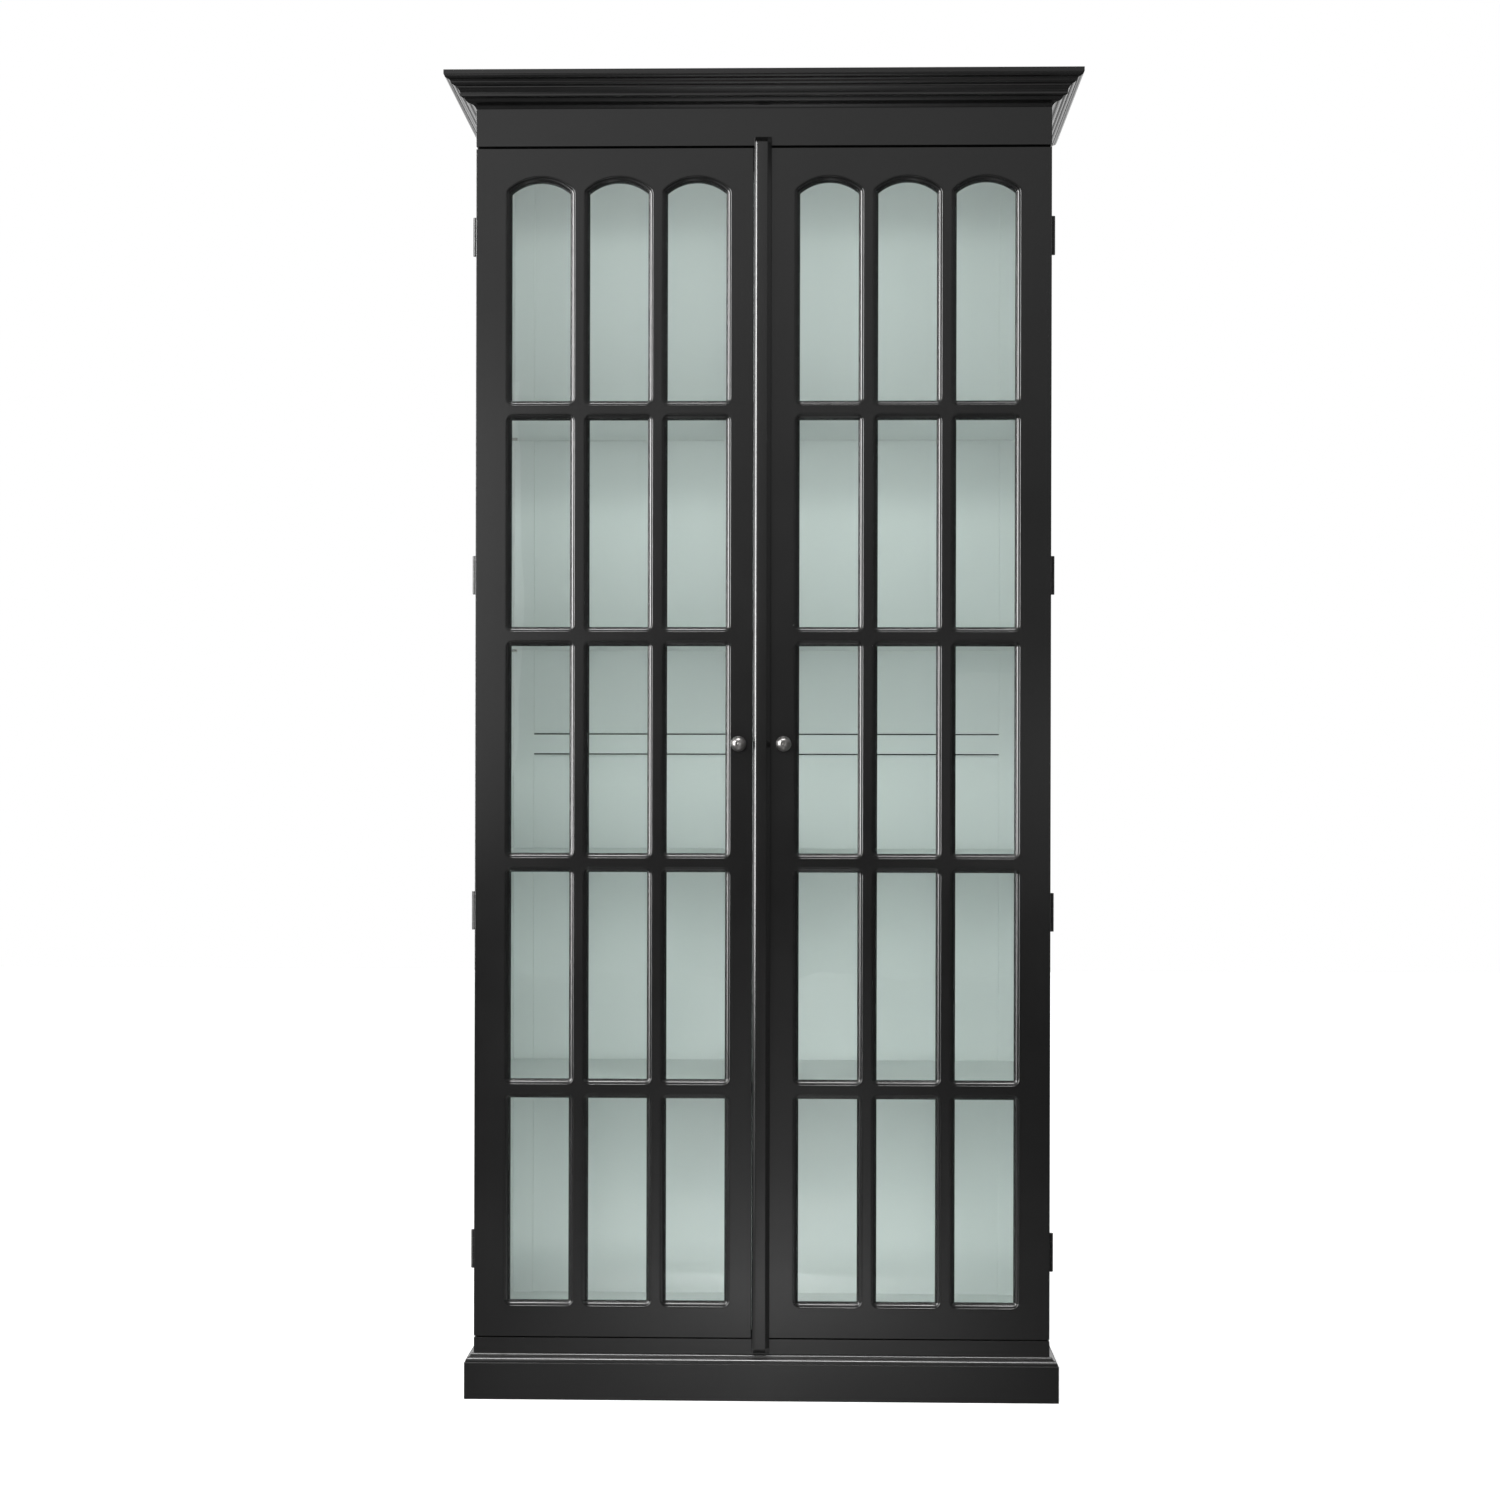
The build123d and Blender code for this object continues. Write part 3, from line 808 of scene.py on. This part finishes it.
def astragalStrip():
    # the strip's section, across against proud, is carried up the strip; near each end whatever stands
    # prouder than a sloping plane is cut back to it
    look = astragalLook
    low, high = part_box("astragal")
    proud = doorFront - low.y
    edge = look["edge"]
    turn = np.radians(np.linspace(180, 90, look["steps"]))
    left = np.stack([low.x + edge + edge * np.cos(turn), proud - edge + edge * np.sin(turn)], axis=1)
    section = np.concatenate(
        [
            [(high.x, 0), (low.x, 0)],
            left,
            [(high.x - look["bevel"] - 0.0008, proud), (high.x - look["bevel"], proud - 0.0003)],
            [(high.x - 0.0003, proud - look["bevel"] + 0.0002), (high.x, proud - look["bevel"] - 0.0006)],
        ]
    )
    heights = np.array([low.z, low.z + look["endRun"], high.z - look["endRun"], high.z])
    limits = np.array([look["endDepth"], proud, proud, look["endDepth"]])
    depth = np.minimum(section[None, :, 1], limits[:, None])
    x = np.broadcast_to(section[None, :, 0], depth.shape)
    z = np.broadcast_to(heights[:, None], depth.shape)
    points = np.stack([x, doorFront - depth, z], axis=-1).reshape(-1, 3)
    count = len(section)
    caps = [list(range(count)), list(range(4 * count - 1, 3 * count - 1, -1))]
    return points, gridFaces(4, count, wrapRows=False) + caps


addPiece("astragalStrip", [astragalStrip()], "right_door", "black_paint", ["astragal"], "run")


def turnedPiece(section, centreX, centreZ, steps=96):
    # a section, radius against distance in front of the door's face, turned about an axis along the
    # depth; the first and last points lie on the axis and close the ends
    angle = np.linspace(0, 2 * np.pi, steps, endpoint=False)[:, None]
    radius, out = section[1:-1, 0][None, :], section[1:-1, 1][None, :]
    x = centreX + radius * np.cos(angle)
    z = centreZ + radius * np.sin(angle)
    y = np.broadcast_to(doorFront - out, x.shape)
    count = x.shape[1]
    ends = [(centreX, doorFront - section[k, 1], centreZ) for k in (0, -1)]
    points = np.concatenate([np.stack([x, y, z], axis=-1).reshape(-1, 3), ends])
    first, last = steps * count, steps * count + 1
    faces = gridFaces(steps, count, wrapColumns=False)
    for k in range(steps):
        after = (k + 1) % steps
        faces.append([first, after * count, k * count])
        faces.append([last, k * count + count - 1, after * count + count - 1])
    return points, faces


# out from the door: a collar, a waist, the flaring head, its domed face and a small dish with a button
knobSection = sectionLine(
    (0, 0.0),
    (7.7, 0.0),
    (8, 0.3),
    (8, 1.2),
    (7.6, 1.7),
    (5.3, 2.9),
    (4.5, 5.5, 4.6, 9),
    (7.4, 14.3, 12, 17),
    (12.5, 19.4, 11.2, 22),
    (8.2, 26.2, 4.1, 27.9),
    (3.6, 27.8),
    (3.0, 26.9),
    (1.9, 26.7),
    (1.3, 27.1, 0, 27.3),
    steps=12,
)
# the head of the knob's bolt, on the back of the door
boltSection = sectionLine(
    (0, -24.2),
    (2.2, -24.1, 3.6, -23.6),
    (4, -23.2),
    (4, -22.0),
    (0, -22.0),
    steps=8,
)
for side in ("left", "right"):
    low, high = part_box(side + "_knob")
    axisX, axisZ = (low.x + high.x) / 2, (low.z + high.z) / 2
    addPiece(
        side + "Knob",
        [turnedPiece(knobSection, axisX, axisZ), turnedPiece(boltSection, axisX, axisZ, 48)],
        side + "_door",
        "knob_metal",
        [side + "_knob"],
        "knob",
    )
print("astragal and knobs made")

easing = dict(weldWithin=0.00001, segments=3, sharperThan=40)
easedBoards = [
    dict(
        width=0.0008,
        boards=["frieze_rail", "lower_front_rail", "plinth_front", "left_plinth_side", "right_plinth_side"],
    ),
    dict(width=0.0012, boards=["shelf_1", "shelf_2", "shelf_3", "shelf_4", "cornice_top_board"]),
    dict(width=0.0006, boards=["back_top_rail", "back_bottom_rail"]),
]


def easeEdges(board, width):
    # a board's corners welded and its arrises rounded over to the width
    weld = board.modifiers.new("weld", "WELD")
    weld.merge_threshold = easing["weldWithin"]
    bevel = board.modifiers.new("ease", "BEVEL")
    bevel.width = width
    bevel.segments = easing["segments"]
    bevel.limit_method = "ANGLE"
    bevel.angle_limit = radians(easing["sharperThan"])
    bevel.harden_normals = True


for batch in easedBoards:
    for name in batch["boards"]:
        easeEdges(nodes[name], batch["width"])
for name, board in nodes.items():
    board.data.materials.clear()
    board.data.materials.append(materials[slotOfNode[name]])

# on boards with one side in the case, the pale paint reaches just past the case's inner faces and the fronts
# of the back panels, and stops just behind the case's front edge
paintLine = dict(side=0.0002, front=0.0008, back=0.001)
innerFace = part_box("bottom_panel")[1].x + paintLine["side"]
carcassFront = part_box("right_side_panel")[0].y + paintLine["front"]
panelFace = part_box("upper_back_panel")[0].y + paintLine["back"]
twoTone = twoTonePaint(innerFace, carcassFront, panelFace)
caseBoards = ["left_side_panel", "right_side_panel", "bottom_panel", "top_stop_rail", "bottom_stop_lath"]
backBoards = ["left_back_stile", "right_back_stile", "back_top_rail", "back_bottom_rail"]
backPanels = ["upper_back_panel", "lower_back_panel"]
for board in [nodes[name] for name in caseBoards + backBoards + backPanels] + [backRail]:
    board.data.materials[0] = twoTone
print("boards eased and painted")

studio = dict(
    floorSize=9.0,
    floorTone=(0.86, 0.86, 0.86),
    floorCloud=1.02,
    floorCloudSize=1.5,
    floorCloudDetail=2.0,
    # the painted pool of light in the floor's middle, the darker floor beside it, and how far the pool fades
    # out
    floorPaintedPool=(0.66, 0.66, 0.66),
    floorSides=(0.095, 0.095, 0.095),
    floorSpread=0.5,
    floorRough=0.9,
    floorGlow=0.45,
    background=1.0,
    behind=1.1,
    overhead=1.15,
    low=0.09,
    brightFrom=0.26,
    rightShare=0.37,
    leftEnd=-0.18,
    rightEnd=0.25,
    frontEnd=-0.1,
    backEnd=0.2,
)


def makeFloor():
    # seen directly the floor is pale; in reflections and bounced light it counts as a darker studio floor,
    # with a painted pool of light in the middle that fades evenly until it has gone the spread to either side
    look = studio
    half = look["floorSize"]
    mesh = bpy.data.meshes.new("floor")
    corners = [(-half, -half, 0), (half, -half, 0), (half, half, 0), (-half, half, 0)]
    mesh.from_pydata(corners, [], [(0, 1, 2, 3)])
    floor = bpy.data.objects.new("floor", mesh)
    bpy.context.collection.objects.link(floor)
    material, tree, shader, place = startMaterial("floorPaint")
    cloud = addNoise(tree, place, look["floorCloudSize"], look["floorCloudDetail"])
    brighter = [tone * look["floorCloud"] for tone in look["floorTone"]]
    pale = mixColour(tree, cloud, look["floorTone"], brighter)
    axes = addNode(tree, "ShaderNodeSeparateXYZ", {0: place}).outputs
    aside = addMath(tree, "ABSOLUTE", axes["X"])
    spread = mapTo(tree, aside, 0.0, 1.0, 0.0, look["floorSpread"])
    # painted pool of light: the floor lighter in the middle, fading to the darker sides
    shade = mixColour(tree, spread, look["floorPaintedPool"], look["floorSides"])
    seen = addNode(tree, "ShaderNodeLightPath").outputs["Is Camera Ray"]
    tree.links.new(mixColour(tree, seen, shade, pale), shader.inputs["Base Color"])
    tree.links.new(mapTo(tree, seen, 0.0, look["floorGlow"]), shader.inputs["Emission Strength"])
    shader.inputs["Emission Color"].default_value = (1.0, 1.0, 1.0, 1.0)
    shader.inputs["Roughness"].default_value = look["floorRough"]
    mesh.materials.append(material)


def makeWorld():
    # a white backdrop for the camera; for the light, a pale wall behind the cabinet and in front of it a room
    # that brightens upwards and towards the left
    look = studio
    world = bpy.data.worlds.new("studio")
    bpy.context.scene.world = world
    world.use_nodes = True
    tree = world.node_tree
    direction = addNode(tree, "ShaderNodeTexCoord").outputs["Generated"]
    axes = addNode(tree, "ShaderNodeSeparateXYZ", {0: direction}).outputs
    room = mapTo(tree, axes["Z"], look["low"], look["overhead"], 0.0, look["brightFrom"])
    side = mapTo(tree, axes["X"], 1.0, look["rightShare"], look["leftEnd"], look["rightEnd"])
    turned = mapTo(tree, axes["Y"], 0.0, 1.0, look["frontEnd"], look["backEnd"])
    around = mixValue(tree, turned, addMath(tree, "MULTIPLY", room, side), look["behind"])
    seen = addNode(tree, "ShaderNodeLightPath").outputs["Is Camera Ray"]
    backdrop = tree.nodes["Background"]
    tree.links.new(mixValue(tree, seen, around, look["background"]), backdrop.inputs["Strength"])
    backdrop.inputs["Color"].default_value = (1.0, 1.0, 1.0, 1.0)


lamps = dict(
    key=dict(
        place=(-3.1, -2.9, 1.75),
        target=(0, 0, 1.0),
        width=1.4,
        height=2.7,
        power=400,
        spread=180,
        lights="gloss",
    ),
    leftWall=dict(
        place=(-3.6, -0.9, 1.6),
        target=(0, -0.4, 1.1),
        width=2.4,
        height=2.6,
        power=120,
        spread=180,
        lights="gloss",
    ),
    window=dict(
        place=(-1.6, -4.8, 1.6),
        target=(-0.4, 0, 1.3),
        width=1.3,
        height=1.7,
        power=7.5,
        spread=180,
        lights="gloss",
    ),
    doorway=dict(
        place=(0.95, -4.8, 1.05),
        target=(0.4, 0, 1.1),
        width=0.8,
        height=0.7,
        power=1.0,
        spread=180,
        lights="gloss",
    ),
    top=dict(
        place=(-0.2, -2.2, 4.1),
        target=(0, -0.2, 0.3),
        width=2.6,
        height=1.2,
        power=10,
        spread=30,
        lights="gloss",
    ),
    front=dict(
        place=(0.0, -2.2, 1.15),
        target=(0, 0, 1.15),
        width=5.0,
        height=2.0,
        power=84,
        spread=180,
        lights="shelves",
    ),
    low=dict(
        place=(0.0, -1.2, 0.12),
        target=(0, 0, 0.4),
        width=0.7,
        height=0.15,
        power=3.4,
        spread=180,
        lights="shelves",
    ),
    high=dict(
        place=(0.1, -1.5, 1.95),
        target=(0, 0, 1.85),
        width=0.7,
        height=0.2,
        power=5.4,
        spread=180,
        lights="shelves",
    ),
)


def makeLamps():
    # some lamps only make highlights; the others light the shelves and are left out of every reflection
    for name, lamp in lamps.items():
        light = bpy.data.lights.new(name, "AREA")
        light.shape = "RECTANGLE"
        light.size = lamp["width"]
        light.size_y = lamp["height"]
        light.energy = lamp["power"]
        light.spread = radians(lamp["spread"])
        holder = bpy.data.objects.new(name, light)
        holder.location = lamp["place"]
        aim = Vector(lamp["target"]) - Vector(lamp["place"])
        holder.rotation_euler = aim.to_track_quat("-Z", "Y").to_euler()
        holder.visible_glossy = lamp["lights"] == "gloss"
        holder.visible_diffuse = lamp["lights"] == "shelves"
        holder.visible_transmission = False
        bpy.context.collection.objects.link(holder)


makeFloor()
makeWorld()
makeLamps()
bpy.context.scene.view_settings.view_transform = "Standard"
bpy.context.scene.view_settings.look = "None"
print("stage, lamps and backdrop set")
